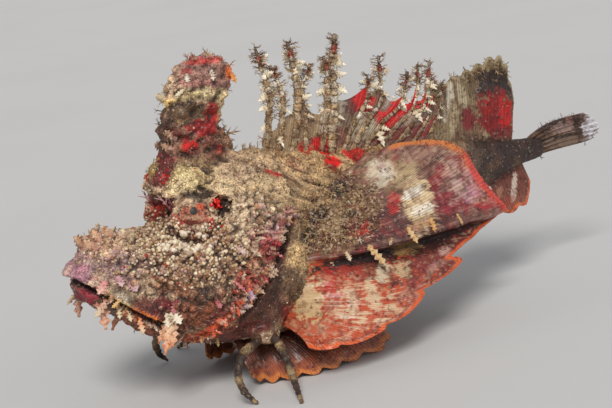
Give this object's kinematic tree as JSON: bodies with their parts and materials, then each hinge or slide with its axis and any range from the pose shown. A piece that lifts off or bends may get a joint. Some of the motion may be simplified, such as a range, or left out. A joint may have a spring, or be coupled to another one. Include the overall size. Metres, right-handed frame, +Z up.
{
  "type": "spiny devilfish model",
  "caption": "Still life-size model of a spiny devilfish resting on its pelvic fins and walking rays, with raised dorsal spines and spread pectoral fins.",
  "frame": {"origin": "centre of the model's outline on the floor", "axes": "+X towards the tail, +Y to the fish's right, +Z up"},
  "size_m": [0.1899, 0.0808, 0.0951],
  "materials": {
    "head_skin": "matt warty skin, sandy with pink fringes",
    "jaw_skin": "matt dark skin with an orange lower edge",
    "eye": "wet gloss",
    "trunk_skin": "matt sandy skin with dark and red marks",
    "tail_skin": "matt dark skin",
    "column_skin": "matt skin, red and dark olive",
    "spine_skin": "matt pale banded skin with red web",
    "soft_dorsal_skin": "satin fin skin, olive with a red band",
    "caudal_skin": "satin fin skin, banded dark and white",
    "anal_skin": "satin fin skin, red-brown",
    "pectoral_skin": "satin fin skin, mauve and red with cream patches",
    "pelvic_skin": "satin fin skin, orange",
    "walking_ray_skin": "matt banded olive-brown skin"
  },
  "bodies": {
    "root": {"head": "head_skin", "lower_jaw": "jaw_skin", "eye_left": "eye", "eye_right": "eye", "trunk": "trunk_skin", "tail": "tail_skin", "dorsal_front": "column_skin", "dorsal_spines": "spine_skin", "soft_dorsal": "soft_dorsal_skin", "caudal_fin": "caudal_skin", "anal_fin": "anal_skin", "pectoral_fin_left": "pectoral_skin", "pectoral_fin_right": "pectoral_skin", "walking_ray_1_left": "walking_ray_skin", "walking_ray_1_right": "walking_ray_skin", "walking_ray_2_left": "walking_ray_skin", "walking_ray_2_right": "walking_ray_skin", "pelvic_fin_left": "pelvic_skin", "pelvic_fin_right": "pelvic_skin"}
  },
  "joints": []
}
